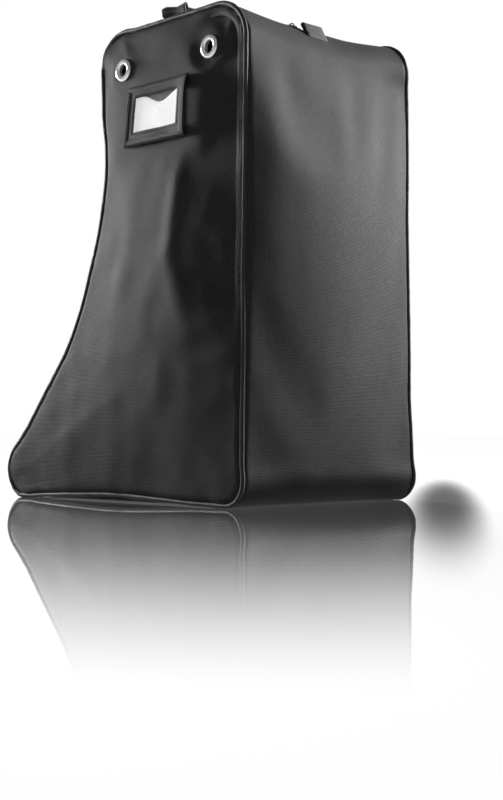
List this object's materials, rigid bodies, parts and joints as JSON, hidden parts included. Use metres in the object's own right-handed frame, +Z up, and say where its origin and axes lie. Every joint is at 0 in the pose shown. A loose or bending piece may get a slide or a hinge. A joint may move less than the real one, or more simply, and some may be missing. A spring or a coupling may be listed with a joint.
{
  "type": "boot bag",
  "caption": "Tall zipped boot bag in black woven fabric with a webbing carry handle, piped side panels, metal eyelets and a card pocket.",
  "frame": {"origin": "on the ground, in the middle of the bounding box", "axes": "+X towards the heel side, +Y towards the plain side panel, +Z up"},
  "size_m": [0.338, 0.226, 0.458],
  "materials": {
    "body_fabric": "woven polyester, slight sheen",
    "piping_fabric": "smooth woven",
    "binding_tape": "grosgrain",
    "webbing": "coarse woven",
    "zip_tape": "fine woven",
    "zip_coil": "satin",
    "zip_metal": "satin black",
    "eyelet_metal": "polished nickel",
    "pocket_fabric": "woven polyester",
    "clear_film": "clear vinyl",
    "card_paper": "matt paper",
    "base_stiffener": "matt"
  },
  "bodies": {
    "bag": {"back_gusset": "body_fabric", "base_board": "base_stiffener", "base_gusset": "body_fabric", "far_back_zip_coil": "zip_coil", "far_back_zip_tape": "zip_tape", "far_eyelet_washers": "eyelet_metal", "far_eyelets": "eyelet_metal", "far_front_gusset": "body_fabric", "far_front_zip_coil": "zip_coil", "far_front_zip_tape": "zip_tape", "far_handle_tail": "webbing", "far_piping": "piping_fabric", "far_seam_binding": "binding_tape", "far_side_panel": "body_fabric", "far_top_strip": "body_fabric", "id_pocket_frame": "pocket_fabric", "id_window_film": "clear_film", "near_back_zip_coil": "zip_coil", "near_back_zip_tape": "zip_tape", "near_eyelet_washers": "eyelet_metal", "near_eyelets": "eyelet_metal", "near_front_gusset": "body_fabric", "near_front_zip_coil": "zip_coil", "near_front_zip_tape": "zip_tape", "near_handle_tail": "webbing", "near_piping": "piping_fabric", "near_seam_binding": "binding_tape", "near_side_panel": "body_fabric", "near_top_strip": "body_fabric", "toe_gusset": "body_fabric", "zip_grab_tab_back": "webbing", "zip_grab_tab_front": "webbing", "zip_stop_back": "zip_metal", "zip_stop_front": "zip_metal"},
    "near_flap": {"near_top_flap": "body_fabric", "near_flap_zip_tape": "zip_tape", "near_flap_zip_coil": "zip_coil"},
    "far_flap": {"far_top_flap": "body_fabric", "far_flap_zip_tape": "zip_tape", "far_flap_zip_coil": "zip_coil"},
    "slider": {"zip_slider": "zip_metal"},
    "pull": {"zip_pull": "zip_metal"},
    "handle": {"carry_handle": "webbing"},
    "card": {"id_card": "card_paper"}
  },
  "joints": [
    {"name": "near_flap_hinge", "type": "hinge", "parent": "bag", "child": "near_flap", "pos_m": [0.0675, -0.0946, 0.4394], "axis": [-1, 0, 0], "range_deg": [0, 80]},
    {"name": "far_flap_hinge", "type": "hinge", "parent": "bag", "child": "far_flap", "pos_m": [0.0675, 0.0946, 0.4394], "axis": [1, 0, 0], "range_deg": [0, 80]},
    {"name": "slider_travel", "type": "slide", "parent": "bag", "child": "slider", "axis": [-1, 0, 0], "range_m": [0, 0.1017]},
    {"name": "pull_hinge", "type": "hinge", "parent": "slider", "child": "pull", "pos_m": [0.1186, 0, 0.4426], "axis": [0, 1, 0], "range_deg": [0, 110]},
    {"name": "handle_swing", "type": "hinge", "parent": "bag", "child": "handle", "pos_m": [0.072, 0, 0.4445], "axis": [0, 1, 0], "range_deg": [-45, 45]},
    {"name": "card_slide", "type": "slide", "parent": "bag", "child": "card", "axis": [1, 0, 0], "range_m": [0, 0.085]}
  ]
}
